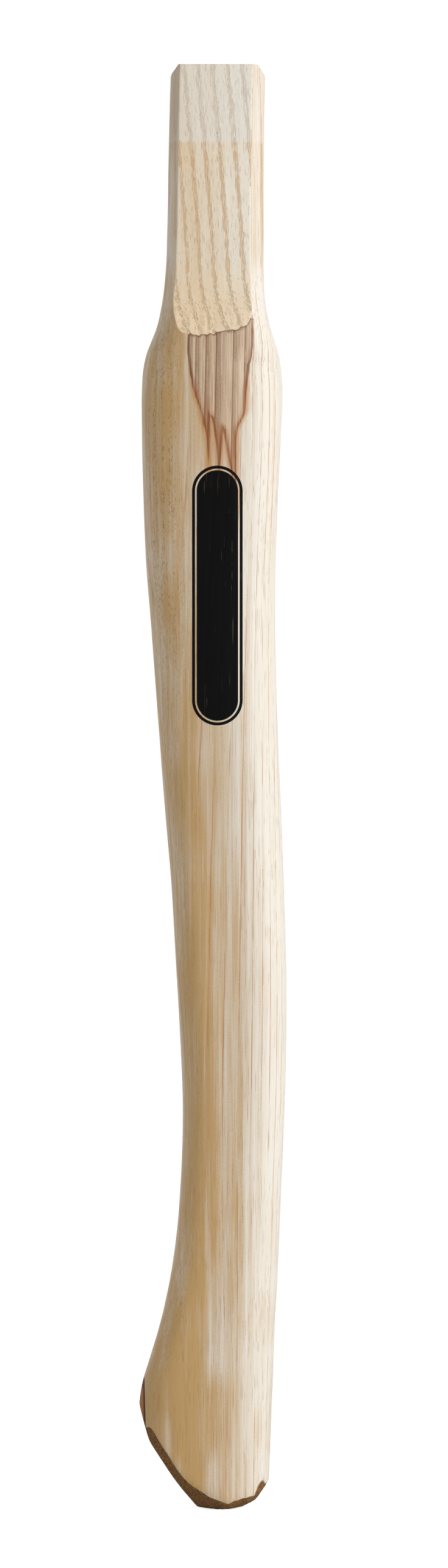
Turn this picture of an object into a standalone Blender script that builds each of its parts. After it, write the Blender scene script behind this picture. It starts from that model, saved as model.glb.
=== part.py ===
"""A curved hickory handle for a hammer, and the wooden wedge that waits in its kerf.

The handle stands on its foot: z = 0 is the lowest point of the foot and +Z runs up to the eye end.
-X is the belly, the side that a hammer's face strikes towards, and +X is the back.
The handle is the same on its two broad sides, -Y and +Y. Sizes are in millimetres until a mesh is made.
"""

import math

import bmesh
import bpy
import numpy as np
from mathutils import Vector

MM = 0.001
NAME = "hammer_handle"
LENGTH = 457.2  # 18 inches

# The sawn and sanded blank, in side view: height, belly edge, back edge.
OUTLINE = [
    (466.0, -13.0, 16.7),
    (453.0, -13.5, 16.5),
    (428.0, -14.1, 16.1),
    (405.0, -14.5, 16.1),
    (391.0, -15.1, 16.1),
    (382.0, -16.2, 16.7),
    (374.0, -18.1, 18.4),
    (370.0, -19.7, 19.7),
    (366.0, -21.2, 20.9),
    (361.0, -22.2, 21.7),
    (354.0, -22.7, 22.1),
    (343.0, -22.7, 21.8),
    (320.0, -22.1, 20.7),
    (297.0, -21.1, 19.9),
    (281.0, -19.8, 19.8),
    (266.0, -18.7, 20.1),
    (243.0, -17.0, 20.8),
    (220.0, -15.1, 21.7),
    (196.0, -13.2, 22.6),
    (172.0, -11.8, 23.3),
    (150.0, -10.5, 23.4),
    (126.0, -9.6, 22.8),
    (103.0, -10.3, 21.8),
    (88.0, -11.4, 21.2),
    (72.0, -13.7, 20.5),
    (57.0, -17.2, 19.7),
    (46.0, -20.5, 19.3),
    (39.5, -22.4, 19.1),
    (33.0, -23.4, 18.8),
    (25.0, -23.8, 18.5),
    (-10.0, -23.5, 17.0),
]

# Height, and half of the blank's thickness.
THICKNESS = [
    (466.0, 13.2),
    (390.0, 13.2),
    (360.0, 13.8),
    (340.0, 13.9),
    (300.0, 13.2),
    (240.0, 12.5),
    (160.0, 12.6),
    (100.0, 12.9),
    (60.0, 13.5),
    (30.0, 13.9),
    (-10.0, 13.9),
]

# The four long corners are planed to flats that fade in and out. Height, then for the belly and for the back:
# how crisp the section is (2 is an ellipse), how far the flat reaches in from the corner of the section's
# box, and how much of the flat shows (0 to 1).
CORNERS = [
    (466.0, 30.0, 5.6, 1.0, 30.0, 6.6, 1.0),
    (392.0, 30.0, 5.7, 1.0, 30.0, 6.7, 1.0),
    (382.0, 20.0, 5.8, 1.0, 20.0, 6.1, 1.0),
    (373.0, 11.0, 6.6, 1.0, 13.0, 5.8, 1.0),
    (362.0, 4.6, 8.4, 0.6, 4.6, 8.4, 0.6),
    (346.0, 3.0, 9.0, 0.1, 3.0, 9.0, 0.1),
    (320.0, 2.7, 8.0, 0.0, 2.7, 8.0, 0.0),
    (262.0, 2.6, 6.0, 0.0, 2.4, 8.0, 0.0),
    (222.0, 5.0, 5.4, 0.6, 2.4, 8.0, 0.0),
    (190.0, 10.0, 5.2, 1.0, 2.4, 8.0, 0.0),
    (60.0, 10.0, 5.2, 1.0, 2.4, 8.0, 0.0),
    (30.0, 5.0, 5.6, 0.8, 2.5, 8.0, 0.0),
    (-10.0, 5.0, 5.6, 0.8, 2.5, 8.0, 0.0),
]

# The tenon's broad faces are milled flat. The cutter runs out in an arc where the shoulder begins.
TENON_HALF = 10.5  # from the middle plane to a milled face
MILL_END = 393.0  # height where the flat ends and the arc begins
MILL_RADIUS = 72.0
MILL_CLEAR = 17.0  # from the middle plane to where the arc has left the blank
MILL_ARC_STEPS = 9

# The blank and the cutters run past the eye end, and the cutters past both edges.
BLANK_SPARE = 6.0
MILL_SPARE = 10.0
KERF_SPARE = 5.0
CUTTER_REACH = 30.0  # from the middle to either end of a cutter
CUT_TOLERANCE = 0.0001  # points closer to a cut than this lie on it

# The eye end's narrow edges are broken, so that a head starts on easily.
TOP_BREAK = 3.0  # down the tenon
TOP_BREAK_IN = 2.4  # in from the tenon's edges

# The foot is cut to this outline (x, height), from the nose round to the back, square to the broad sides.
FOOT_OUTLINE = [
    (-23.2, 31.5),
    (-20.2, 21.5),
    (-11.8, 8.9),
    (-5.0, 0.7),
    (1.4, 0.0),
    (9.0, 0.7),
    (13.6, 3.0),
    (18.4, 9.4),
]
# Its rim is then sanded off at a slant, from this line (x, distance from the middle plane, height) on
# either broad side.
RIM_OUTLINE = [
    (-21.6, 8.3, 26.8),
    (-17.4, 11.5, 21.0),
    (-11.2, 13.3, 12.2),
    (-7.8, 13.6, 8.4),
    (-0.6, 13.9, 3.9),
    (4.6, 13.4, 1.9),
    (12.8, 10.6, 4.1),
    (17.9, 4.8, 8.9),
]
RIM_SLANT = math.radians(42.0)

# The kerf is sawn across the tenon from belly to back, and narrows downwards as its wedge does.
KERF_DEPTH = 50.0
KERF_HALF_TOP = 2.3
KERF_HALF_BOTTOM = 0.8
GAP = 0.3  # between the wedge and either cheek of the kerf
WEDGE_LENGTH = 46.0
WEDGE_BELLY, WEDGE_BACK = -10.6, 12.9
WEDGE_BREAK = 0.3  # the sanded edges round the wedge's top

# The loft's density: closer rings round the shoulder and at the foot.
COARSE_STEP = 11.0
FINE_STEP = 4.0
SHOULDER_TOP, SHOULDER_BOTTOM = 396.0, 352.0
FOOT_TOP, FOOT_BOTTOM = 72.0, -6.0
NARROW_STEPS, FLAT_STEPS, BROAD_STEPS = 2, 3, 4

HICKORY = ("hickory", (0.72, 0.56, 0.38), 0.42)
WEDGE_WOOD = ("wedge_wood", (0.60, 0.43, 0.26), 0.65)


def clear_scene():
    for obj in list(bpy.data.objects):
        bpy.data.objects.remove(obj, do_unlink=True)


def collection(name, shown=True):
    made = bpy.data.collections.new(name)
    bpy.context.scene.collection.children.link(made)
    made.hide_render = not shown
    return made


def material(name, colour, roughness):
    made = bpy.data.materials.new(name)
    made.use_nodes = True
    made.diffuse_color = (*colour, 1.0)
    shader = made.node_tree.nodes["Principled BSDF"]
    shader.inputs["Base Color"].default_value = (*colour, 1.0)
    shader.inputs["Roughness"].default_value = roughness
    return made


def smooth_through(rows):
    """A smooth function of height through the rows (height, values...)."""
    table = np.array(sorted(rows))
    heights, values = table[:, 0], table[:, 1:]
    slopes = np.gradient(values, heights, axis=0)

    def at(height):
        i = int(np.clip(np.searchsorted(heights, height) - 1, 0, len(heights) - 2))
        span = heights[i + 1] - heights[i]
        t = (height - heights[i]) / span
        rise = t * t * (3 - 2 * t)
        held = values[i] * (1 - rise) + values[i + 1] * rise
        return held + span * t * (1 - t) * (slopes[i] * (1 - t) - slopes[i + 1] * t)

    return at


def straight_through(rows):
    """A function of height that goes straight from row to row."""
    table = np.array(sorted(rows))

    def at(height):
        return [np.interp(height, table[:, 0], column) for column in table[:, 1:].T]

    return at


def quarter(reach, half, crisp, inset, flat):
    """A quarter of a section, from its narrow edge (reach, 0) to its broad side (0, half).

    The edge, the corner's flat and the broad side meet softly. The flat's borders have points on them.
    """
    low, high = math.atan2(half - inset, reach), math.atan2(half, reach - inset)
    counts = np.cumsum((0, NARROW_STEPS, FLAT_STEPS, BROAD_STEPS))
    angle = np.interp(np.arange(counts[-1] + 1), counts, (0.0, low, high, math.pi / 2))
    x, y = np.cos(angle), np.sin(angle)
    closeness = (x / reach) ** crisp + (y / half) ** crisp
    closeness += flat * ((x + y) / (reach + half - inset)) ** crisp
    radius = closeness ** (-1 / crisp)
    x, y = x * radius, y * radius
    return x * reach / x.max(), y * half / y.max()


def blank_ring(height, outline, thickness, corners):
    """The points round the blank at this height."""
    belly, back = outline(height)
    half = thickness(height)[0]
    row = corners(height)
    middle, reach = (belly + back) / 2, (back - belly) / 2
    x_belly, y_belly = quarter(reach, half, *row[:3])
    x_back, y_back = quarter(reach, half, *row[3:])
    x = np.concatenate([middle + x_back, (middle - x_belly)[-2::-1]])
    y = np.concatenate([y_back, y_belly[-2::-1]])
    x = np.concatenate([x, x[-2:0:-1]])
    y = np.concatenate([y, -y[-2:0:-1]])
    return [(px * MM, py * MM, height * MM) for px, py in zip(x, y)]


def ring_heights():
    """From above the eye end to below the foot. The blank is cut to length later."""
    spans = [
        (LENGTH + BLANK_SPARE, SHOULDER_TOP, COARSE_STEP),
        (SHOULDER_TOP, SHOULDER_BOTTOM, FINE_STEP),
        (SHOULDER_BOTTOM, FOOT_TOP, COARSE_STEP),
        (FOOT_TOP, FOOT_BOTTOM, FINE_STEP * 1.5),
    ]
    heights = []
    for top, bottom, step in spans:
        count = math.ceil((top - bottom) / step)
        heights += [top + (bottom - top) * i / count for i in range(count)]
    return heights + [FOOT_BOTTOM]


def blank():
    """The whole blank as a bmesh: rings joined from end to end."""
    outline, thickness = smooth_through(OUTLINE), smooth_through(THICKNESS)
    corners = straight_through(CORNERS)
    mesh = bmesh.new()
    rings = []
    for height in ring_heights():
        points = blank_ring(height, outline, thickness, corners)
        rings.append([mesh.verts.new(point) for point in points])
    for upper, lower in zip(rings, rings[1:]):
        for i in range(len(upper)):
            j = (i + 1) % len(upper)
            mesh.faces.new((upper[i], lower[i], lower[j], upper[j]))
    mesh.faces.new(rings[0])
    mesh.faces.new(rings[-1][::-1])
    return mesh


def saw(mesh, point, normal):
    """Cut away what lies on the normal's side of a plane, and close the cut."""
    done = bmesh.ops.bisect_plane(
        mesh,
        geom=mesh.verts[:] + mesh.edges[:] + mesh.faces[:],
        dist=CUT_TOLERANCE * MM,
        plane_co=Vector(point) * MM,
        plane_no=Vector(normal).normalized(),
        clear_outer=True,
    )
    edges = [e for e in done["geom_cut"] if isinstance(e, bmesh.types.BMEdge)]
    bmesh.ops.edgeloop_fill(mesh, edges=[e for e in edges if e.is_boundary])


def cut_ends(mesh):
    """Trim the blank to length and shape both of its ends."""
    outline = smooth_through(OUTLINE)
    saw(mesh, (0, 0, LENGTH), (0, 0, 1))
    belly, back = outline(LENGTH)
    slope = (TOP_BREAK, 0, TOP_BREAK_IN)
    saw(mesh, (back - TOP_BREAK_IN, 0, LENGTH), slope)
    saw(mesh, (belly + TOP_BREAK_IN, 0, LENGTH), (-slope[0], 0, slope[2]))
    for (x, z), (next_x, next_z) in zip(FOOT_OUTLINE, FOOT_OUTLINE[1:]):
        saw(mesh, (x, 0, z), (next_z - z, 0, x - next_x))
    for point, next_point in zip(RIM_OUTLINE, RIM_OUTLINE[1:]):
        start, along = Vector(point), Vector(next_point) - Vector(point)
        outward = Vector((along.z, 0, -along.x)).normalized()
        slope = outward * math.sin(RIM_SLANT) - Vector((0, math.cos(RIM_SLANT), 0))
        normal = along.cross(slope)
        for side in (-1, 1):
            flip = Vector((1, side, 1))
            saw(mesh, start * flip, normal * flip)


def add_object(name, mesh, where, slot=None):
    data = bpy.data.meshes.new(name)
    bmesh.ops.recalc_face_normals(mesh, faces=mesh.faces)
    mesh.to_mesh(data)
    mesh.free()
    obj = bpy.data.objects.new(name, data)
    where.objects.link(obj)
    if slot:
        data.materials.append(slot)
    return obj


def prism(profile, belly, back):
    """A bmesh with this profile of (y, height) points, running from belly to back."""
    mesh = bmesh.new()
    ends = []
    for x in (belly, back):
        ends.append([mesh.verts.new((x * MM, y * MM, z * MM)) for y, z in profile])
    for i in range(len(profile)):
        j = (i + 1) % len(profile)
        mesh.faces.new((ends[0][i], ends[0][j], ends[1][j], ends[1][i]))
    mesh.faces.new(ends[0])
    mesh.faces.new(ends[1][::-1])
    return mesh


def milling_profile(side):
    """What the cutter removes beside one broad face, as (y, height)."""
    last = math.acos(1 - (MILL_CLEAR - TENON_HALF) / MILL_RADIUS)
    top = LENGTH + MILL_SPARE
    points = [(MILL_CLEAR, top), (TENON_HALF, top)]
    for i in range(MILL_ARC_STEPS + 1):
        turn = last * i / MILL_ARC_STEPS
        out = TENON_HALF + MILL_RADIUS * (1 - math.cos(turn))
        points.append((out, MILL_END - MILL_RADIUS * math.sin(turn)))
    return [(side * y, z) for y, z in points]


def kerf_half(height):
    down = (LENGTH - height) / KERF_DEPTH
    return KERF_HALF_TOP + (KERF_HALF_BOTTOM - KERF_HALF_TOP) * down


def kerf_profile():
    top, bottom = LENGTH + KERF_SPARE, LENGTH - KERF_DEPTH
    return [
        (-kerf_half(top), top),
        (-kerf_half(bottom), bottom),
        (kerf_half(bottom), bottom),
        (kerf_half(top), top),
    ]


def carve(obj, cutter):
    modifier = obj.modifiers.new(cutter.name, "BOOLEAN")
    modifier.operation = "DIFFERENCE"
    modifier.solver = "EXACT"
    modifier.object = cutter
    cutter.display_type = "WIRE"
    cutter.hide_render = True


def make_handle(shown, cutters):
    mesh = blank()
    cut_ends(mesh)
    handle = add_object("handle", mesh, shown, material(*HICKORY))
    for name, side in (("mill_front", -1), ("mill_rear", 1)):
        cutter = prism(milling_profile(side), -CUTTER_REACH, CUTTER_REACH)
        carve(handle, add_object(name, cutter, cutters))
    cutter = prism(kerf_profile(), -CUTTER_REACH, CUTTER_REACH)
    carve(handle, add_object("kerf", cutter, cutters))


def make_wood_wedge(shown):
    """The wedge fills the top of the kerf, flush with the tenon's end."""
    tip = LENGTH - WEDGE_LENGTH
    wide, narrow = kerf_half(LENGTH) - GAP, kerf_half(tip) - GAP
    below = LENGTH - WEDGE_BREAK
    broken = kerf_half(below) - GAP
    profile = [
        (-wide + WEDGE_BREAK, LENGTH),
        (-broken, below),
        (-narrow, tip),
        (narrow, tip),
        (broken, below),
        (wide - WEDGE_BREAK, LENGTH),
    ]
    add_object("wood_wedge", prism(profile, WEDGE_BELLY, WEDGE_BACK), shown, material(*WEDGE_WOOD))


def main():
    clear_scene()
    shown = collection(NAME)
    cutters = collection(NAME + "_cutters", shown=False)
    make_handle(shown, cutters)
    make_wood_wedge(shown)


main()
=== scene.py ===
"""The looks of the curved hickory handle and its wooden wedge.

Sizes are in millimetres until a mesh is made. The handle is one fine mesh, cast outwards from its own
middle line on to the same shape as the CAD solid: a smooth blank, milled, sawn and sanded.
"""

import math

import bpy
import numpy as np
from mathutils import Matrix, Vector


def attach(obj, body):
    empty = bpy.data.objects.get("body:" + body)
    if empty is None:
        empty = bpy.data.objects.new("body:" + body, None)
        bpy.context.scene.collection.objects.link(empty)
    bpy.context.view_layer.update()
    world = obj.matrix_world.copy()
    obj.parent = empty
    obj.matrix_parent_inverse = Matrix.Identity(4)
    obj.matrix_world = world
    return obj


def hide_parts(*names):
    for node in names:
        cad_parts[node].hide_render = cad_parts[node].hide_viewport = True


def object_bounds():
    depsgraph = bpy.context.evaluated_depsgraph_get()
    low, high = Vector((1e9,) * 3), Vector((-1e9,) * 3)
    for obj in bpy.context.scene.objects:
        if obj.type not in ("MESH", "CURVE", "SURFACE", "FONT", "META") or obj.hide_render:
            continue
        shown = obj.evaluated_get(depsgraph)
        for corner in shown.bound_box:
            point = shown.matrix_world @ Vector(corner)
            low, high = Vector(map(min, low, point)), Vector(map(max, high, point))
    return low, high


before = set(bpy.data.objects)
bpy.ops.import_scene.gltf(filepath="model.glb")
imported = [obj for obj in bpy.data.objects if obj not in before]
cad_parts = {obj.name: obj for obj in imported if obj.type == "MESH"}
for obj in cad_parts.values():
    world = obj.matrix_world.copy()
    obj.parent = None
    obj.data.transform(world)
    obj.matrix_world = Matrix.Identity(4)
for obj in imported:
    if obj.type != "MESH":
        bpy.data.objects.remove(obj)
cad_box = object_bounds()

MM = 0.001
LENGTH = cad_box[1][2] / MM

# ---------------------------------------------------------------------------------------------
# The shape, as in the CAD. First the blank: height, belly edge, back edge.
OUTLINE = [
    (466.0, -13.0, 16.7),
    (453.0, -13.5, 16.5),
    (428.0, -14.1, 16.1),
    (405.0, -14.5, 16.1),
    (391.0, -15.1, 16.1),
    (382.0, -16.2, 16.7),
    (374.0, -18.1, 18.4),
    (370.0, -19.7, 19.7),
    (366.0, -21.2, 20.9),
    (361.0, -22.2, 21.7),
    (354.0, -22.7, 22.1),
    (343.0, -22.7, 21.8),
    (320.0, -22.1, 20.7),
    (297.0, -21.1, 19.9),
    (281.0, -19.8, 19.8),
    (266.0, -18.7, 20.1),
    (243.0, -17.0, 20.8),
    (220.0, -15.1, 21.7),
    (196.0, -13.2, 22.6),
    (172.0, -11.8, 23.3),
    (150.0, -10.5, 23.4),
    (126.0, -9.6, 22.8),
    (103.0, -10.3, 21.8),
    (88.0, -11.4, 21.2),
    (72.0, -13.7, 20.5),
    (57.0, -17.2, 19.7),
    (46.0, -20.5, 19.3),
    (39.5, -22.4, 19.1),
    (33.0, -23.4, 18.8),
    (25.0, -23.8, 18.5),
    (-10.0, -23.5, 17.0),
]
# Height, and half of the blank's thickness.
THICKNESS = [
    (466.0, 13.2),
    (390.0, 13.2),
    (360.0, 13.8),
    (340.0, 13.9),
    (300.0, 13.2),
    (240.0, 12.5),
    (160.0, 12.6),
    (100.0, 12.9),
    (60.0, 13.5),
    (30.0, 13.9),
    (-10.0, 13.9),
]
# Height, then for the belly and for the back: crispness, the corner flat's inset, and how much of it shows.
CORNERS = [
    (466.0, 30.0, 5.6, 1.0, 30.0, 6.6, 1.0),
    (392.0, 30.0, 5.7, 1.0, 30.0, 6.7, 1.0),
    (382.0, 20.0, 5.8, 1.0, 20.0, 6.1, 1.0),
    (373.0, 11.0, 6.6, 1.0, 13.0, 5.8, 1.0),
    (362.0, 4.6, 8.4, 0.6, 4.6, 8.4, 0.6),
    (346.0, 3.0, 9.0, 0.1, 3.0, 9.0, 0.1),
    (320.0, 2.7, 8.0, 0.0, 2.7, 8.0, 0.0),
    (262.0, 2.6, 6.0, 0.0, 2.4, 8.0, 0.0),
    (222.0, 5.0, 5.4, 0.6, 2.4, 8.0, 0.0),
    (190.0, 10.0, 5.2, 1.0, 2.4, 8.0, 0.0),
    (60.0, 10.0, 5.2, 1.0, 2.4, 8.0, 0.0),
    (30.0, 5.0, 5.6, 0.8, 2.5, 8.0, 0.0),
    (-10.0, 5.0, 5.6, 0.8, 2.5, 8.0, 0.0),
]
# The tenon's broad faces are milled flat. The cutter runs out in an arc where the shoulder begins.
TENON_HALF = 10.5  # from the middle plane to a milled face
MILL_END = 393.0  # height where the flat ends and the arc begins
MILL_RADIUS = 72.0
MILL_ARC_SHARE = 0.8  # how much of the radius the arc can run down
SCOOP_TILT = 0.036  # how much further out the arc is, for each millimetre towards the back
TENON_MIDDLE = 1.0  # the tilt turns about this x
TILT_FADE = 20.0  # and comes in over this height
SCOOP_TOP = MILL_END + 2.0
SCOOP_FADE = 14.0  # the torn grain of the scoop comes in over this height
SCOOP_FLOOR = 366.0  # below this nothing is milled
LIP_TOP, LIP_FADE = 382.0, 7.0  # the scoop's lower edge gets ragged from here down, over this height
# The eye end's narrow edges are broken.
TOP_BREAK = 3.0  # down the tenon
TOP_BREAK_IN = 2.4  # in from the tenon's edges
# The foot's outline (x, height), square to the broad sides.
FOOT_OUTLINE = [
    (-23.2, 31.5),
    (-20.2, 21.5),
    (-11.8, 8.9),
    (-5.0, 0.7),
    (1.4, 0.0),
    (9.0, 0.7),
    (13.6, 3.0),
    (18.4, 9.4),
]
# Its rim is sanded off at a slant, from this line (x, distance from the middle plane, height).
RIM_OUTLINE = [
    (-21.6, 8.3, 26.8),
    (-17.4, 11.5, 21.0),
    (-11.2, 13.3, 12.2),
    (-7.8, 13.6, 8.4),
    (-0.6, 13.9, 3.9),
    (4.6, 13.4, 1.9),
    (12.8, 10.6, 4.1),
    (17.9, 4.8, 8.9),
]
RIM_SLANT = math.radians(42.0)
# Cuts meet each other, and the blank, over these widths.
FOOT_SOFT, RIM_SOFT, CUT_SOFT, MILL_SOFT = 0.5, 0.25, 0.3, 0.08
# The kerf narrows downwards, as its wedge does.
KERF_DEPTH = 50.0
KERF_HALF_TOP = 2.3
KERF_HALF_BOTTOM = 0.8
KERF_SPARE = 5.0  # how far the cutter runs past the eye end
CUTTER_REACH = 30.0  # from the middle to either end of the cutter
SHARP_ANGLE = 50.0  # a crease sharper than this, in degrees, isn't shaded smooth

# The wood. Its yearly rings are flat layers seen edge-on, this far round from the X axis.
RING_TURN = math.radians(55.0)
RING_WIDTH = 2.55
RING_START = 0.55
# Height, and how far the rings have wandered sideways there.
RING_DRIFT = [
    (460.0, -5.4),
    (430.0, -2.6),
    (395.0, 0.0),
    (350.0, 0.3),
    (300.0, -0.6),
    (240.0, -2.4),
    (180.0, -4.2),
    (120.0, -5.2),
    (70.0, -5.4),
    (0.0, -4.8),
]

# The dark stain below the shoulder's scoop is three lobes, each with its height, left edge and right edge.
STAIN_LOBES = [
    [
        (376.6, -7.6, 6.0),
        (366.0, -7.9, 6.0),
        (360.0, -7.4, 6.0),
        (355.0, -6.4, 4.0),
        (351.5, -5.4, -0.6),
        (348.0, -4.0, -0.9),
        (343.0, -2.9, -1.1),
        (339.0, -2.0, -1.1),
        (335.0, -1.8, -1.2),
        (329.0, -1.5, -1.4),
    ],
    [
        (376.6, -6.0, 9.0),
        (355.0, -4.0, 9.0),
        (350.5, -0.9, 9.0),
        (346.0, -0.4, 7.0),
        (342.5, 0.2, 3.3),
        (340.0, 0.6, 3.0),
        (336.0, 1.1, 2.8),
        (331.0, 1.5, 2.4),
        (329.0, 1.9, 2.0),
    ],
    [
        (376.6, -2.0, 12.6),
        (368.0, -2.0, 12.6),
        (364.0, -2.0, 12.1),
        (362.0, -2.0, 11.4),
        (354.0, -2.0, 10.7),
        (347.0, -2.0, 10.3),
        (344.8, 0.0, 9.2),
        (342.0, 3.1, 7.8),
        (338.5, 3.8, 7.3),
        (333.5, 4.7, 7.3),
        (328.5, 5.7, 7.3),
        (320.0, 6.8, 7.2),
    ],
]
FAR_FROM_STAIN = -9.0
# Where fine dark lines part the stain's stripes at STAIN_MIDDLE's height. They lean towards the back.
STAIN_LINES = (-8.0, -5.6, -2.4, 0.8, 6.3, 9.9, 13.0)
STAIN_MIDDLE = 360.0
STAIN_LEAN = 0.02

# The sliver of heartwood on the nose: its edge's x at this height, the edge's lean, and its top.
HEART_X, HEART_HEIGHT, HEART_LEAN, HEART_TOP = -21.5, 33.0, 0.03, 41.0

# How tan the wood is across the handle, from the belly edge (0) to the back edge (1): partly the wood's own
# tone, partly painted shade a few millimetres in from the belly edge and painted light towards the back.
TAN_AND_SHADE_ACROSS = (0.0, 0.08, 0.16, 0.26, 0.40, 0.55, 0.70, 0.85, 1.0)
TAN_AND_SHADE_SHARE = (0.84, 0.95, 1.08, 1.00, 0.84, 0.66, 0.40, 0.18, 0.08)
FOOT_TAN_TOP, FOOT_TAN_FADE = 110.0, 60.0  # the foot is tanner, from this height down, over this height

# The printed mark: a panel with round ends, and an inline between two distances from its spine.
MARK_X, MARK_HEIGHT = 1.4, 289.0
MARK_HALF_WIDTH, MARK_HALF_STRAIGHT = 8.0, 33.0
INLINE_FROM, INLINE_TO = 6.55, 7.05

# The lacquer stops this high up. The wood above is bare.
BARE_FROM = 432.0
# The fine lines fade out between these heights, towards the foot.
FOOT_FADE = (60.0, 140.0)

# The studio, in metres and watts.
VIEW_HEIGHT = 0.4986  # what the frame takes in, from bottom to top, at the handle
VIEW_CENTRE = (0.0035, 0.2295)  # across and up
LIGHTS_AIM = 0.23  # the height that every light is aimed at
LIGHTS = [
    # name, degrees round from the camera, degrees up, distance, size, power
    ("key", 54, 22, 1.6, (1.0, 1.4), 23.5),
    ("left", -88, 0, 1.2, (0.3, 1.2), 3.6),
    ("back", 180, 10, 1.6, (1.0, 1.4), 7),
]
WHITE = (1, 1, 1, 1)
WORLD_LIGHTING, WORLD_SEEN = 0.28, 1.05
FLOOR_RADIUS, FLOOR_DROP = 0.7, 0.0002
FLOOR_COLOUR = (0.8, 0.8, 0.8, 1)
FLOOR_GLOW = 0.85

# Mesh density.
COLUMNS = 280
BODY_SPANS = [
    # top, bottom, and the step between rings: close where the surface is busy
    (LENGTH - 0.25, 396.0, 0.80),
    (396.0, 366.0, 0.50),
    (366.0, 340.0, 1.3),
    (340.0, 42.0, 2.4),
]
FOOT_CENTRE = (-1.0, 42.0)  # x and height: the foot is cast from here
FOOT_BLEND = 40.0  # above the foot's centre, the rings' centres move over to it within this height
FOOT_ROWS = 58
CAP_ROWS = 5
CAP_ROUND = 0.012  # how far the rim of the eye end is rounded in, as a share of its radius
UNCUT = -50.0  # a depth well inside the wood, to start from
RAY_REACH = 60.0  # further than the surface can be from the middle line
FINE_REACH = 1.5  # further than wear and torn grain can move the surface
ROUGH_HALVINGS, FINE_HALVINGS = 14, 11


def smooth_through(rows):
    """A smooth function of height through the rows (height, values...)."""
    table = np.array(sorted(rows))
    heights, values = table[:, 0], table[:, 1:]
    slopes = np.gradient(values, heights, axis=0)

    def at(height):
        i = np.clip(np.searchsorted(heights, height) - 1, 0, len(heights) - 2)
        span = heights[i + 1] - heights[i]
        t = ((height - heights[i]) / span)[..., None]
        rise = t * t * (3 - 2 * t)
        held = values[i] * (1 - rise) + values[i + 1] * rise
        bend = span[..., None] * t * (1 - t) * (slopes[i] * (1 - t) - slopes[i + 1] * t)
        return np.moveaxis(held + bend, -1, 0)

    return at


def straight_through(rows):
    """A function of height that goes straight from row to row."""
    table = np.array(sorted(rows))

    def at(height):
        return [np.interp(height, table[:, 0], column) for column in table[:, 1:].T]

    return at


outline = smooth_through(OUTLINE)
thickness = smooth_through(THICKNESS)
corners = straight_through(CORNERS)
ring_drift = smooth_through(RING_DRIFT)


def hashed(ix, iy, iz, seed):
    """A repeatable random number from 0 to 1 for each lattice point."""
    n = ix * 374761393 + iy * 668265263 + iz * 2147483647 + seed * 1274126177
    n = (n ^ (n >> 13)) * 1103515245
    n = n ^ (n >> 16)
    return (n & 0xFFFFFF) / 0xFFFFFF


def noise(x, y, z, seed=0):
    """Smooth random values from -1 to 1, with a lattice step of 1."""
    cell = [np.floor(c).astype(np.int64) for c in (x, y, z)]
    part = [c - np.floor(c) for c in (x, y, z)]
    part = [t * t * (3 - 2 * t) for t in part]
    total = 0.0
    for dx in (0, 1):
        for dy in (0, 1):
            for dz in (0, 1):
                weight = (part[0] if dx else 1 - part[0]) * (part[1] if dy else 1 - part[1])
                weight = weight * (part[2] if dz else 1 - part[2])
                total = total + weight * hashed(cell[0] + dx, cell[1] + dy, cell[2] + dz, seed)
    return total * 2 - 1


def ring_place(x, y, z):
    """Distance through the yearly rings, in millimetres. A ring ends at each whole ring width."""
    place = math.cos(RING_TURN) * (x - ring_drift(z)[0]) + math.sin(RING_TURN) * y
    wander = 0.5 * noise(place / 9, z / 190, 0.0, 3)
    wander = wander + 0.05 * noise(place / 2.5, z / 38, 0.0, 4)
    return place + wander + RING_START


def ring_gap(place):
    """Distance from the nearest ring's end."""
    phase = place / RING_WIDTH
    return np.abs(phase - np.round(phase)) * RING_WIDTH


def blank_depth(x, y, z):
    """How far a point is outside the blank, measured along its own radius."""
    belly, back = outline(z)
    half = thickness(z)[0]
    middle, reach = (belly + back) / 2, (back - belly) / 2
    row = corners(z)
    on_back = x > middle
    crisp, inset, flat = (np.where(on_back, row[i + 3], row[i]) for i in range(3))
    cross = reach + half - inset
    # The same section as the CAD's: its edge and side are stretched back to their full reach.
    at_edge = (reach**-crisp + flat * cross**-crisp) ** (-1 / crisp)
    at_side = (half**-crisp + flat * cross**-crisp) ** (-1 / crisp)
    px = np.abs(x - middle) * at_edge / reach
    py = np.abs(y) * at_side / half
    closeness = (px / reach) ** crisp + (py / half) ** crisp + flat * ((px + py) / cross) ** crisp
    radius = np.hypot(x - middle, y)
    return radius * (1 - np.maximum(closeness, 1e-12) ** (-1 / crisp))


def mill_arc(z):
    """How much further out than the flat the cutter has run at this height."""
    down = np.clip(MILL_END - z, 0, MILL_RADIUS * MILL_ARC_SHARE)
    return MILL_RADIUS - np.sqrt(MILL_RADIUS**2 - down**2)


def scoop_tilt(x, z):
    """The cutter runs out a little lower on the belly side than on the back."""
    return SCOOP_TILT * (x - TENON_MIDDLE) * np.clip((MILL_END - z) / TILT_FADE, 0, 1)


def scoop_share(z):
    """0 on the tenon's flat, rising to 1 in the scoop where the cutter runs out."""
    return np.clip((SCOOP_TOP - z) / SCOOP_FADE, 0, 1)


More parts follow.
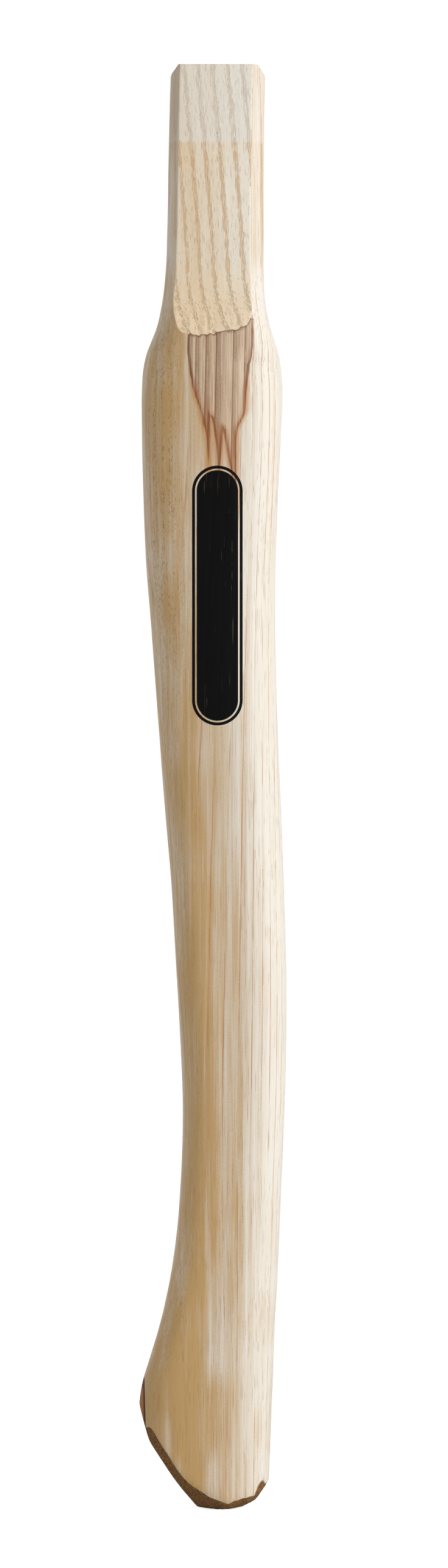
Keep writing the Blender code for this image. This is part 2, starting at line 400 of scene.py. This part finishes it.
def torn_grain(x, y, z):
    """Unevenness of the milled faces: feathered along the ring ends, and torn where the cutter ran out."""
    near_ring = np.exp(-((ring_gap(ring_place(x, y, z)) / 0.5) ** 2))
    feather = noise(x / 0.45, z / 3.2, 0.0, 11) * 0.06
    feather = feather + noise(x / 0.9, z / 1.4, 0.0, 12) * 0.03
    in_scoop = scoop_share(z)
    curl = noise((x + 0.55 * z) / 0.6, z / 1.4, 0.0, 13) * 0.15
    curl = curl + noise(x / 2.0, z / 1.8, 0.0, 14) * 0.06
    ragged = noise(x / 2.4, 0.0, 0.0, 15) * 0.15 + noise(x / 0.9, 0.0, 0.0, 16) * 0.07
    lip = ragged * np.clip((LIP_TOP - z) / LIP_FADE, 0, 1)
    on_flat = feather * (0.1 + near_ring) * (1 - in_scoop)
    rough = on_flat + curl * (0.10 + 0.75 * near_ring) * in_scoop
    return rough + lip + scoop_tilt(x, z)


def plane_depth(point, normal, x, y, z):
    """How far a point is beyond a plane."""
    normal = Vector(normal).normalized()
    return normal[0] * (x - point[0]) + normal[1] * (y - point[1]) + normal[2] * (z - point[2])


def end_depth(x, y, z):
    """How far a point is outside the cuts at the foot."""
    sole = np.full(x.shape, UNCUT)
    for (px, pz), (qx, qz) in zip(FOOT_OUTLINE, FOOT_OUTLINE[1:]):
        sole = soft_max(sole, plane_depth((px, 0, pz), (qz - pz, 0, px - qx), x, y, z), FOOT_SOFT)
    rim = np.full(x.shape, UNCUT)
    for point, next_point in zip(RIM_OUTLINE, RIM_OUTLINE[1:]):
        along = Vector(next_point) - Vector(point)
        outward = Vector((along.z, 0, -along.x)).normalized()
        slope = outward * math.sin(RIM_SLANT) - Vector((0, math.cos(RIM_SLANT), 0))
        rim = soft_max(rim, plane_depth(point, along.cross(slope), x, np.abs(y), z), FOOT_SOFT)
    return soft_max(sole, rim, RIM_SOFT)


def break_depth(x, y, z):
    """How far a point is outside the broken edges of the eye end."""
    belly, back = outline(np.array([LENGTH]))
    right = plane_depth((back[0] - TOP_BREAK_IN, 0, LENGTH), (TOP_BREAK, 0, TOP_BREAK_IN), x, y, z)
    left = plane_depth((belly[0] + TOP_BREAK_IN, 0, LENGTH), (-TOP_BREAK, 0, TOP_BREAK_IN), x, y, z)
    return np.maximum(left, right)


def soft_max(a, b, width):
    """The larger of two depths, with the corner between them rounded over this width."""
    h = np.clip(0.5 + (b - a) / (2 * width), 0, 1)
    return a * (1 - h) + b * h + width * h * (1 - h)


def surface_wear(x, y, z):
    """The sanded skin's slight unevenness: porous ring ends lie low, and the broad waves are the sander's."""
    place = ring_place(x, y, z)
    sunk = 0.05 * np.exp(-((ring_gap(place) / 0.32) ** 2))
    waves = 0.06 * noise(x / 7, y / 7, z / 28, 21) + 0.012 * noise(place / 0.4, z / 30, 0.0, 22)
    return waves - sunk


def depth(x, y, z, worn, torn):
    """How far a point is outside the handle."""
    milled = np.abs(y) - (TENON_HALF + mill_arc(z) + torn)
    whole = soft_max(blank_depth(x, y, z) - worn, milled, MILL_SOFT)
    whole = soft_max(whole, break_depth(x, y, z), CUT_SOFT)
    return soft_max(whole, end_depth(x, y, z), CUT_SOFT)


def halve(origin, direction, low, high, worn, torn, steps):
    """The distances at which the rays leave the handle, by halving."""
    for _ in range(steps):
        middle = (low + high) / 2
        outside = depth(*(origin + direction * middle[:, None]).T, worn, torn) > 0
        high = np.where(outside, middle, high)
        low = np.where(outside, low, middle)
    return (low + high) / 2


def cast(origin, direction):
    """The surface points met from the origins along the directions. All are (n, 3)."""
    smooth = np.zeros(len(origin))
    far = halve(origin, direction, smooth, smooth + RAY_REACH, smooth, smooth, ROUGH_HALVINGS)
    point = (origin + direction * far[:, None]).T
    worn, torn = surface_wear(*point), torn_grain(*point)
    low, high = np.maximum(far - FINE_REACH, 0), far + FINE_REACH
    far = halve(origin, direction, low, high, worn, torn, FINE_HALVINGS)
    return origin + direction * far[:, None]


def body_heights():
    """Ring heights from the eye end down to the foot's centre."""
    heights = []
    for top, bottom, step in BODY_SPANS:
        count = math.ceil((top - bottom) / step)
        heights += [top + (bottom - top) * i / count for i in range(count)]
    return heights + [FOOT_CENTRE[1]]


def handle_grid():
    """Rings of points from the eye end down to the foot, with one point at either end."""
    turn = np.arange(COLUMNS) * 2 * math.pi / COLUMNS
    flat = np.stack([np.cos(turn), np.sin(turn), np.zeros(COLUMNS)], axis=1)
    origins, directions = [], []
    for height in body_heights():
        belly, back = outline(np.array([height]))[:, 0]
        share = min((height - FOOT_CENTRE[1]) / FOOT_BLEND, 1.0)
        middle = (belly + back) / 2 * share + FOOT_CENTRE[0] * (1 - share)
        origins.append(np.tile([middle, 0.0, height], (COLUMNS, 1)))
        directions.append(flat)
    centre = np.array([FOOT_CENTRE[0], 0.0, FOOT_CENTRE[1]])
    for i in range(1, FOOT_ROWS):
        dip = math.pi / 2 * i / FOOT_ROWS
        origins.append(np.tile(centre, (COLUMNS, 1)))
        directions.append(flat * math.cos(dip) - np.array([0, 0, math.sin(dip)]))
    rings = cast(np.concatenate(origins), np.concatenate(directions)).reshape(-1, COLUMNS, 3)
    tip = cast(centre[None], np.array([[0.0, 0.0, -1.0]]))[0]
    crown = np.append(rings[0].mean(axis=0)[:2], LENGTH)
    shares = (np.arange(1, CAP_ROWS + 1) / CAP_ROWS)[:, None, None]
    cap = crown + (rings[0] - crown) * shares * (1 - CAP_ROUND * shares)
    cap[:, :, 2] = LENGTH
    return crown, [*cap, *rings], tip


def new_object(name, points, faces):
    """An object in the scene, made of points in millimetres."""
    mesh = bpy.data.meshes.new(name)
    mesh.from_pydata((np.array(points) * MM).tolist(), [], faces)
    made = bpy.data.objects.new(name, mesh)
    bpy.context.scene.collection.objects.link(made)
    return made


def make_handle():
    """The whole wooden handle, with its kerf sawn and its fields written."""
    crown, rows, tip = handle_grid()
    points = np.concatenate([[crown], *rows, [tip]])
    faces = []
    last = len(points) - 1
    for j in range(COLUMNS):
        k = (j + 1) % COLUMNS
        faces.append((0, 1 + j, 1 + k))
        for i in range(len(rows) - 1):
            a, b = 1 + i * COLUMNS, 1 + (i + 1) * COLUMNS
            faces.append((a + j, b + j, b + k, a + k))
        end = 1 + (len(rows) - 1) * COLUMNS
        faces.append((end + j, last, end + k))
    piece = new_object("handle_wood", points, faces)
    piece.data.validate()
    piece.data.shade_smooth()
    cut_kerf(piece)
    write_fields(piece)
    return piece


def kerf_half(height):
    """Half of the kerf's width at this height."""
    down = (LENGTH - height) / KERF_DEPTH
    return KERF_HALF_TOP + (KERF_HALF_BOTTOM - KERF_HALF_TOP) * down


def cut_kerf(piece):
    """Saw the kerf across the tenon, from belly to back."""
    top, bottom = LENGTH + KERF_SPARE, LENGTH - KERF_DEPTH
    wide, narrow = kerf_half(top), kerf_half(bottom)
    profile = [(-wide, top), (-narrow, bottom), (narrow, bottom), (wide, top)]
    points = [(x, y, z) for x in (-CUTTER_REACH, CUTTER_REACH) for y, z in profile]
    faces = [(i, (i + 1) % 4, 4 + (i + 1) % 4, 4 + i) for i in range(4)] + [(3, 2, 1, 0), (4, 5, 6, 7)]
    cutter = new_object("kerf_cutter", points, faces)
    cut = piece.modifiers.new("kerf", "BOOLEAN")
    cut.operation = "DIFFERENCE"
    cut.solver = "EXACT"
    cut.object = cutter
    graph = bpy.context.evaluated_depsgraph_get()
    done = bpy.data.meshes.new_from_object(piece.evaluated_get(graph))
    piece.modifiers.clear()
    piece.data = done
    bpy.data.objects.remove(cutter)
    done.set_sharp_from_angle(angle=math.radians(SHARP_ANGLE))


def stain_field(x, y, z):
    """How far a point is inside the stain, in millimetres across the grain. It is only on the front."""
    inside = np.full(x.shape, FAR_FROM_STAIN)
    for lobe in STAIN_LOBES:
        left, right = straight_through(lobe)(z)
        top, bottom = lobe[0][0], lobe[-1][0]
        ends = np.minimum((z - bottom) * 0.3, (top - z) * 2.0)
        inside = np.maximum(inside, np.minimum(np.minimum(x - left, right - x), ends))
    return np.where(y < 0, inside, FAR_FROM_STAIN)


def stripe_field(x, z):
    """Counts the stain's stripes from belly to back: a whole number falls on each fine line."""
    return np.interp(x - STAIN_LEAN * (z - STAIN_MIDDLE), STAIN_LINES, np.arange(len(STAIN_LINES)))


def steepness(mesh):
    """How squarely the surface cuts through the yearly rings: 0 where it lies along them, 1 square on."""
    normals = np.empty(len(mesh.vertices) * 3)
    mesh.vertex_normals.foreach_get("vector", normals)
    nx, ny, _ = normals.reshape(-1, 3).T
    run = math.sin(RING_TURN) * nx - math.cos(RING_TURN) * ny
    return np.abs(run) / np.maximum(np.hypot(nx, ny), 1e-3)


def tan_and_shade(x, y, z):
    """How tan the wood is, from 0 (pale at the back) to 1: partly the wood's own tone, partly painted shade
    near the belly edge and painted light towards the back.
    """
    belly, back = outline(z)
    # The ramp across the handle carries painted shade near the belly edge and painted light towards the back.
    ramp = np.interp((x - belly) / (back - belly), TAN_AND_SHADE_ACROSS, TAN_AND_SHADE_SHARE)
    place = ring_place(x, y, z)
    broad = 0.16 * noise(place / 2.2, z / 160, 0.0, 31) + 0.10 * noise(place / 1.1, z / 60, 0.0, 32)
    foot = np.clip((FOOT_TAN_TOP - z) / FOOT_TAN_FADE, 0, 1)
    mottle = (0.10 + 0.22 * foot) * noise(x / 5, y / 5, z / 12, 33)
    return ramp + 0.20 * foot + (broad + mottle) * (0.35 + ramp)


def heart_field(x, z):
    """How far a point is inside the sliver of heartwood on the nose."""
    return np.minimum(HEART_X - x - HEART_LEAN * (z - HEART_HEIGHT), (HEART_TOP - z) * 0.15)


def write_fields(piece):
    """Store what the material needs to know about each point."""
    mesh = piece.data
    points = np.empty(len(mesh.vertices) * 3)
    mesh.vertices.foreach_get("co", points)
    x, y, z = (points.reshape(-1, 3) / MM).T
    mill = np.abs(y) - (TENON_HALF + mill_arc(z) + torn_grain(x, y, z))
    blank = blank_depth(x, y, z)
    milled = np.where(z > SCOOP_FLOOR, mill - blank, -3.0)
    fields = {
        "ring": ring_place(x, y, z),
        "steep": steepness(mesh),
        "milled": np.where(z > LENGTH - 0.2, 1.0, milled),
        "scoop": scoop_share(z),
        "stain": stain_field(x, y, z),
        "stripe": stripe_field(x, z),
        "tan_and_shade": tan_and_shade(x, y, z),
        "heart": heart_field(x, z),
        "sawn": end_depth(x, y, z) - blank,
    }
    for name, values in fields.items():
        layer = mesh.attributes.new(name, "FLOAT", "POINT")
        layer.data.foreach_set("value", np.asarray(values, dtype=np.float32))


# ---------------------------------------------------------------------------------------------
class Shader:
    """Short names for the nodes of one material."""

    def __init__(self, name):
        self.material = bpy.data.materials.new(name)
        self.material.use_nodes = True
        self.tree = self.material.node_tree
        self.surface = self.tree.nodes["Principled BSDF"]

    def node(self, kind, inputs=(), **settings):
        """A new node, with its inputs given by name or number, and its other settings by name."""
        made = self.tree.nodes.new(kind)
        for key, value in settings.items():
            setattr(made, key, value)
        for key, value in dict(inputs).items():
            self.put(made.inputs[key], value)
        return made

    def put(self, socket, value):
        """Link a socket to another one, or set it to a plain value."""
        if isinstance(value, bpy.types.NodeSocket):
            self.tree.links.new(value, socket)
        else:
            socket.default_value = value

    def math(self, operation, *values):
        made = self.node("ShaderNodeMath", operation=operation)
        for socket, value in zip(made.inputs, values):
            self.put(socket, value)
        return made.outputs[0]

    def add(self, a, b):
        return self.math("ADD", a, b)

    def less(self, a, b):
        return self.math("SUBTRACT", a, b)

    def times(self, a, b):
        return self.math("MULTIPLY", a, b)

    def rise(self, value, low, high, to_low=0.0, to_high=1.0):
        """A smooth step from low to high."""
        made = self.node("ShaderNodeMapRange", interpolation_type="SMOOTHSTEP")
        for socket, number in zip(made.inputs, (value, low, high, to_low, to_high)):
            self.put(socket, number)
        return made.outputs[0]

    def field(self, name):
        """One of the values that write_fields stored."""
        return self.node("ShaderNodeAttribute", attribute_name=name).outputs["Fac"]

    def vector(self, x, y, z):
        return self.node("ShaderNodeCombineXYZ", {"X": x, "Y": y, "Z": z}).outputs[0]

    def noise(self, x, y, z, scales, detail=2.0, roughness=0.5):
        """Noise with this many waves to the millimetre along x, y and z."""
        scaled = [self.times(value, scale) if scale else 0.0 for value, scale in zip((x, y, z), scales)]
        inputs = {"Vector": self.vector(*scaled), "Scale": 1.0, "Detail": detail, "Roughness": roughness}
        return self.node("ShaderNodeTexNoise", inputs).outputs[0]

    def mix(self, share, a, b):
        """From a to b."""
        made = self.node("ShaderNodeMix", data_type="RGBA")
        for socket, value in zip((made.inputs[0], made.inputs[6], made.inputs[7]), (share, a, b)):
            self.put(socket, value)
        return made.outputs[2]

    def place(self):
        """Object coordinates in millimetres, as x, y and z."""
        coordinates = self.node("ShaderNodeTexCoord").outputs["Object"]
        scaled = self.node("ShaderNodeVectorMath", {0: coordinates, 1: (1000.0,) * 3}, operation="MULTIPLY")
        return self.node("ShaderNodeSeparateXYZ", {0: scaled.outputs[0]}).outputs

    def relief(self, height):
        """Bump the surface by this height in millimetres."""
        bump = self.node("ShaderNodeBump", {"Height": height, "Distance": MM, "Strength": 1.0})
        self.put(self.surface.inputs["Normal"], bump.outputs[0])


def colour(red, green, blue):
    """A linear colour from sRGB numbers from 0 to 255."""
    values = [c / 255 for c in (red, green, blue)]
    return tuple(c / 12.92 if c < 0.04045 else ((c + 0.055) / 1.055) ** 2.4 for c in values) + (1.0,)


def ring_lines(s, ring, steep, x, y, z):
    """The lines at the rings' ends: how far off one is, the soft line, and the open pores along it."""
    phase = s.math("DIVIDE", ring, RING_WIDTH)
    gap = s.times(s.math("ABSOLUTE", s.less(phase, s.math("ROUND", phase))), RING_WIDTH)
    patch = s.noise(ring, y, z, (0.45, 0.02, 0.016))
    seen = s.times(s.rise(steep, 0.25, 0.65), s.rise(patch, 0.42, 0.60, 0.05, 1.0))
    line = s.times(s.times(s.rise(gap, 0.20, 0.02), seen), s.rise(z, *FOOT_FADE, 0.5, 1.0))
    dash = s.noise(x, y, z, (5.0, 5.0, 0.07), 1.0)
    pores = s.rise(s.add(dash, s.times(line, 0.26)), 0.67, 0.72)
    return gap, line, pores


def stain_ribs(s, streaks, x, y, z):
    """The stain's stripes, in the stain's own tan and mauve. Across each one, painted shade on its left side
    turns to painted light on its right, as on a ridge lit from the right.
    """
    share = s.math("FRACT", s.field("stripe"))
    grains = s.noise(x, y, z, (5.0, 5.0, 2.0), 2.0, 0.6)
    # Painted shade to painted light across each stripe, from left to right.
    body = s.mix(s.rise(share, 0.05, 0.85), colour(160, 124, 91), colour(217, 190, 158))
    body = s.mix(s.rise(x, -3.0, 10.0, 0.0, 0.30), body, colour(230, 206, 178))
    body = s.mix(s.times(s.rise(streaks, 0.53, 0.63), 0.55), body, colour(232, 214, 192))
    body = s.mix(s.times(s.rise(streaks, 0.48, 0.37), 0.55), body, colour(142, 104, 70))
    body = s.mix(s.times(s.rise(grains, 0.40, 0.62), 0.16), body, colour(240, 228, 214))
    line = s.math("MAXIMUM", s.rise(share, 0.09, 0.0), s.rise(share, 0.96, 1.0))
    return s.mix(s.times(line, 0.85), body, colour(126, 76, 42))


def stain_margin(s, body, edge, low, wobble, streaks, milled):
    """Rust over the ribs: darkest along the very edge and widest below, with a painted shadow under the
    scoop's lip.
    """
    margin = s.rise(edge, s.rise(low, 0.0, 1.0, 1.1, 2.3), 0.1)
    margin = s.times(margin, s.rise(wobble, 0.64, 0.44, 0.6, 1.0))
    rust = s.mix(low, colour(138, 88, 52), colour(168, 100, 46))
    painted = s.mix(s.times(margin, 0.80), body, rust)
    rim = s.rise(s.math("ABSOLUTE", s.less(edge, 0.25)), 0.55, 0.15)
    rim = s.times(rim, s.rise(streaks, 0.58, 0.44, 0.25, 1.0))
    painted = s.mix(s.times(rim, 0.75), painted, colour(116, 64, 30))
    # Painted shadow: a dark band just below the scoop's lip.
    lip_shadow = s.rise(milled, s.rise(wobble, 0.35, 0.65, -0.16, -0.40), -0.02)
    return s.mix(s.times(lip_shadow, 0.75), painted, colour(122, 70, 38))


def stained(s, base, milled, x, y, z):
    """Paint the stain: tan and mauve ribs with a rust-brown margin, and a glow round it."""
    below_lip = s.rise(milled, 0.03, -0.03)
    wobble = s.noise(x, y, z, (1.2, 1.2, 0.06), 3.0, 0.6)
    streaks = s.noise(x, y, z, (2.4, 2.4, 0.035), 4.0, 0.65)
    edge = s.add(s.field("stain"), s.times(s.less(wobble, 0.5), 1.1))
    low = s.rise(z, 364.0, 350.0)
    body = stain_ribs(s, streaks, x, y, z)
    painted = stain_margin(s, body, edge, low, wobble, streaks, milled)
    glow = s.times(s.rise(edge, s.rise(low, 0.0, 1.0, -0.7, -1.7), -0.05), below_lip)
    base = s.mix(s.times(glow, s.rise(low, 0.0, 1.0, 0.30, 0.70)), base, colour(200, 138, 78))
    inside = s.times(s.rise(edge, -0.30, 0.05), below_lip)
    return s.mix(s.times(inside, 0.95), base, painted)


def sapwood(s, tan_with_shade, off_mill, lines, x, z):
    """The sanded skin, from tan to cream, with its ring lines and open pores. The tan carries painted shade
    and light, and the tenon's side facets are painted lighter on the belly side and darker on the back.
    """
    ring, steep, line, pores = lines
    # Painted light on the tenon's belly-side facet and painted shade on its back-side facet, above the
    # shoulder and off the milled flats.
    tenon_facet_light_and_shade = s.times(s.rise(z, 385.0, 400.0), s.rise(x, -6.0, 6.0, -0.30, 0.36))
    tan = s.rise(s.add(tan_with_shade, s.times(tenon_facet_light_and_shade, off_mill)), 0.0, 1.25)
    base = s.mix(tan, colour(237, 231, 219), colour(200, 163, 108))
    base = s.mix(s.times(line, s.rise(tan_with_shade, 0.1, 0.6, 0.35, 0.70)), base, colour(200, 144, 80))
    base = s.mix(s.times(s.times(pores, off_mill), 0.55), base, colour(194, 130, 64))
    thin = s.noise(ring, 0.0, z, (2.3, 0.0, 0.006))
    thin = s.rise(s.math("ABSOLUTE", s.less(thin, 0.5)), 0.018, 0.004)
    thin = s.times(s.times(thin, s.rise(steep, 0.2, 0.6)), off_mill)
    return s.mix(s.times(thin, s.rise(z, *FOOT_FADE, 0.08, 0.17)), base, colour(190, 142, 90))


def pore_dots(s, base, steep, off_mill, x, y, z):
    """The swell's pore dots, where the surface lies along the rings."""
    dots = s.noise(x, y, z, (3.2, 3.2, 0.9), 1.0)
    columns = s.noise(x, y, z, (1.1, 1.1, 0.004), 1.0)
    dots = s.times(s.rise(dots, 0.55, 0.62), s.rise(columns, 0.40, 0.54))
    on_swell = s.times(s.rise(z, 230.0, 320.0, 0.25, 1.0), s.rise(z, 390.0, 370.0))
    along = s.times(s.times(s.rise(steep, 0.55, 0.2), off_mill), on_swell)
    return s.mix(s.times(s.times(dots, along), 0.6), base, colour(146, 106, 68))


def milled_wood(s, tan_with_shade, gap, scoop, x, z):
    """The milled faces: paler, with feathered strokes along the rings, aslant in the scoop."""
    long = s.noise(s.add(x, s.times(z, 0.05)), 0.0, z, (4.2, 0.0, 0.24), 2.0, 0.6)
    short = s.noise(s.add(x, s.times(z, 0.55)), 0.0, z, (3.0, 0.0, 0.62), 2.0, 0.6)
    strokes = s.add(s.times(long, s.less(1.0, scoop)), s.times(short, scoop))
    banded = s.rise(gap, 0.66, 0.10)
    strokes = s.add(strokes, s.times(banded, s.rise(scoop, 0.0, 1.0, 0.17, 0.13)))
    strokes = s.rise(strokes, 0.60, 0.68)
    # The milled faces' tan follows the handle's tan, painted shade and light included.
    pale = s.mix(s.rise(tan_with_shade, 0.0, 1.5), colour(248, 239, 222), colour(233, 211, 178))
    pale = s.mix(s.times(scoop, 0.6), pale, colour(244, 216, 176))
    pale = s.mix(s.times(banded, 0.16), pale, colour(228, 194, 146))
    pale = s.mix(s.times(strokes, s.rise(scoop, 0.0, 1.0, 0.55, 0.34)), pale, colour(212, 158, 90))
    return pale, strokes


def heartwood(s, base, heart):
    """A brown sliver of heartwood with a dark line round it."""
    inside = s.rise(heart, -0.1, 0.1)
    base = s.mix(inside, base, colour(168, 112, 70))
    line = s.times(s.rise(heart, -0.15, 0.1), s.rise(heart, 0.7, 0.3))
    return s.mix(line, base, colour(84, 46, 26)), inside


def end_grain_and_shade(s, x, y, z):
    """Sawn and sanded end grain, speckled; its darkness is partly its own colour and partly painted shade on
    the foot's underside.
    """
    speckle = s.noise(x, y, z, (2.2, 2.2, 2.2), 3.0, 0.6)
    return s.mix(s.rise(speckle, 0.35, 0.65), colour(98, 68, 40), colour(146, 110, 70))


def finish_surface(s, bare, sawn, heart, mark):
    """The lacquer's gloss. Ink, end grain and heartwood are dull."""
    lacquer = s.times(s.less(1.0, bare), s.less(1.0, sawn))
    dull = s.math("MAXIMUM", s.math("MAXIMUM", mark, sawn), heart)
    s.put(s.surface.inputs["Roughness"], s.rise(lacquer, 0.0, 1.0, 0.75, 0.5))
    s.put(s.surface.inputs["Specular IOR Level"], s.rise(dull, 0.0, 1.0, 0.28, 0.06))
    s.put(s.surface.inputs["Coat Weight"], s.times(s.times(lacquer, 0.08), s.less(1.0, dull)))
    s.surface.inputs["Coat Roughness"].default_value = 0.35


def hickory():
    """The handle's wood, from bare skin to printed mark."""
    s = Shader("hickory_looks")
    x, y, z = s.place()[:3]
    ring, steep, milled, scoop = (s.field(name) for name in ("ring", "steep", "milled", "scoop"))
    gap, line, pores = ring_lines(s, ring, steep, x, y, z)
    on_mill = s.rise(milled, -0.04, 0.04)
    off_mill = s.less(1.0, on_mill)

    # Fine fibres along the grain, broad bands, and a faint fuzz across it.
    fibres = s.noise(x, y, z, (3.4, 3.4, 0.035), 3.0, 0.6)
    broad = s.noise(x, y, z, (0.8, 0.8, 0.012), 3.0, 0.6)
    fuzz = s.noise(x, y, z, (0.9, 0.9, 4.5), 2.0, 0.6)
    tan_with_shade = s.field("tan_and_shade")
    for waves, amount in ((broad, 1.1), (fibres, 0.55), (fuzz, 0.34)):
        tan_with_shade = s.add(tan_with_shade, s.times(s.less(waves, 0.5), amount))

    base = sapwood(s, tan_with_shade, off_mill, (ring, steep, line, pores), x, z)
    base = pore_dots(s, base, steep, off_mill, x, y, z)
    pale, strokes = milled_wood(s, tan_with_shade, gap, scoop, x, z)
    base = s.mix(on_mill, base, pale)
    bare = s.rise(s.add(z, s.times(s.less(fibres, 0.5), 1.2)), BARE_FROM, BARE_FROM + 1.2)
    bleached = s.times(bare, s.rise(on_mill, 0.0, 1.0, 0.30, 0.50))
    base = s.mix(bleached, base, colour(241, 238, 231))
    base = stained(s, base, milled, x, y, z)
    base, heart = heartwood(s, base, s.field("heart"))
    sawn = s.rise(s.field("sawn"), -0.05, 0.05)
    # The sawn foot: end grain, darkened partly by painted shade.
    base = s.mix(sawn, base, end_grain_and_shade(s, x, y, z))
    mark = ink_mark(s, x, y, z, fibres)
    s.put(s.surface.inputs["Base Color"], s.mix(mark, base, colour(13, 12, 12)))
    finish_surface(s, bare, sawn, heart, mark)

    # Relief in millimetres: fibres, open pores, fuzz, and the torn strokes of the milled faces.
    height = s.less(s.times(fibres, 0.012), s.times(s.times(pores, off_mill), 0.05))
    height = s.add(height, s.times(fuzz, 0.006))
    torn = s.times(s.times(strokes, on_mill), s.rise(scoop, 0.0, 1.0, -0.08, -0.17))
    s.relief(s.add(height, torn))
    return s.material


def ink_mark(s, x, y, z, fibres):
    """A plain black printed panel with round ends and a thin inline, worn along the grain."""
    px = s.less(x, MARK_X)
    pz = s.less(s.math("ABSOLUTE", s.less(z, MARK_HEIGHT)), MARK_HALF_STRAIGHT)
    pz = s.math("MAXIMUM", pz, 0.0)
    out = s.math("SQRT", s.add(s.times(px, px), s.times(pz, pz)))
    ink = s.rise(out, MARK_HALF_WIDTH + 0.06, MARK_HALF_WIDTH - 0.06)
    past_start = s.rise(out, INLINE_FROM - 0.05, INLINE_FROM + 0.05)
    before_end = s.rise(out, INLINE_TO + 0.05, INLINE_TO - 0.05)
    ink = s.times(ink, s.less(1.0, s.times(past_start, before_end)))
    ink = s.times(ink, s.less(1.0, s.times(s.rise(fibres, 0.66, 0.76), 0.35)))
    on_front = s.rise(y, -2.0, -4.0)
    return s.times(ink, on_front)


def wedge_wood():
    """The wedge's rough brown hardwood."""
    s = Shader("wedge_looks")
    x, y, z = s.place()[:3]
    streaks = s.noise(x, y, z, (1.4, 2.5, 0.04), 4.0, 0.6)
    pores = s.rise(s.noise(x, y, z, (3.0, 4.0, 0.15), 1.0), 0.62, 0.7)
    base = s.mix(s.rise(streaks, 0.35, 0.7), colour(206, 168, 118), colour(160, 112, 66))
    base = s.mix(s.times(pores, 0.6), base, colour(112, 72, 38))
    s.put(s.surface.inputs["Base Color"], base)
    s.surface.inputs["Roughness"].default_value = 0.7
    s.relief(s.less(s.times(streaks, 0.1), s.times(pores, 0.08)))
    return s.material


# ---------------------------------------------------------------------------------------------
def make_camera():
    """Level with the handle's middle and square to its broad side, far enough off to flatten it."""
    data = bpy.data.cameras.new("camera")
    data.lens = 135.0
    data.sensor_width = 36.0
    distance = VIEW_HEIGHT * data.lens / data.sensor_width
    camera = bpy.data.objects.new("camera", data)
    camera.location = (VIEW_CENTRE[0], -distance, VIEW_CENTRE[1])
    camera.rotation_euler = (math.radians(90), 0, 0)
    bpy.context.scene.collection.objects.link(camera)
    bpy.context.scene.camera = camera


def area_light(name, turn, tilt, distance, size, power):
    """A soft white panel this far round from the camera, aimed at the handle's middle."""
    data = bpy.data.lights.new(name, "AREA")
    data.shape = "RECTANGLE"
    data.size, data.size_y = size
    data.energy = power
    light = bpy.data.objects.new(name, data)
    turn, tilt = math.radians(turn), math.radians(tilt)
    away = Vector((math.sin(turn) * math.cos(tilt), -math.cos(turn) * math.cos(tilt), math.sin(tilt)))
    light.location = Vector((0, 0, LIGHTS_AIM)) + away * distance
    light.rotation_euler = away.to_track_quat("Z", "Y").to_euler()
    bpy.context.scene.collection.objects.link(light)


def make_world():
    """Plain white, softer on the object than it looks to the camera and in reflections."""
    world = bpy.data.worlds.new("studio")
    world.use_nodes = True
    tree = world.node_tree
    lighting = tree.nodes["Background"]
    lighting.inputs["Color"].default_value = WHITE
    lighting.inputs["Strength"].default_value = WORLD_LIGHTING
    seen = tree.nodes.new("ShaderNodeBackground")
    seen.inputs["Color"].default_value = WHITE
    seen.inputs["Strength"].default_value = WORLD_SEEN
    path = tree.nodes.new("ShaderNodeLightPath")
    shown = tree.nodes.new("ShaderNodeMath")
    shown.operation = "MULTIPLY_ADD"
    shown.inputs[1].default_value = 0.5  # reflections show the white at half strength
    mix = tree.nodes.new("ShaderNodeMixShader")
    tree.links.new(path.outputs["Is Glossy Ray"], shown.inputs[0])
    tree.links.new(path.outputs["Is Camera Ray"], shown.inputs[2])
    tree.links.new(shown.outputs[0], mix.inputs[0])
    tree.links.new(lighting.outputs[0], mix.inputs[1])
    tree.links.new(seen.outputs[0], mix.inputs[2])
    tree.links.new(mix.outputs[0], tree.nodes["World Output"].inputs[0])
    bpy.context.scene.world = world


def make_floor():
    """A pale floor. The camera sees it lit up, as white as the world behind it."""
    bpy.ops.mesh.primitive_circle_add(
        vertices=96, radius=FLOOR_RADIUS, fill_type="NGON", location=(0, 0, -FLOOR_DROP)
    )
    floor = bpy.context.active_object
    floor.name = "floor"
    s = Shader("floor_looks")
    s.surface.inputs["Base Color"].default_value = FLOOR_COLOUR
    s.surface.inputs["Roughness"].default_value = 0.9
    s.surface.inputs["Specular IOR Level"].default_value = 0.0
    s.surface.inputs["Emission Color"].default_value = WHITE
    path = s.node("ShaderNodeLightPath")
    glow = s.times(path.outputs["Is Camera Ray"], FLOOR_GLOW)
    s.put(s.surface.inputs["Emission Strength"], glow)
    floor.data.materials.append(s.material)


def main():
    bpy.context.scene.view_settings.view_transform = "Standard"
    make_camera()
    make_world()
    make_floor()
    for light in LIGHTS:
        area_light(*light)
    handle = make_handle()
    handle.data.materials.clear()
    handle.data.materials.append(hickory())
    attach(handle, "handle")
    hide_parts("handle")
    wedge = bpy.data.objects["wood_wedge"]
    wedge.material_slots[0].material = wedge_wood()


main()
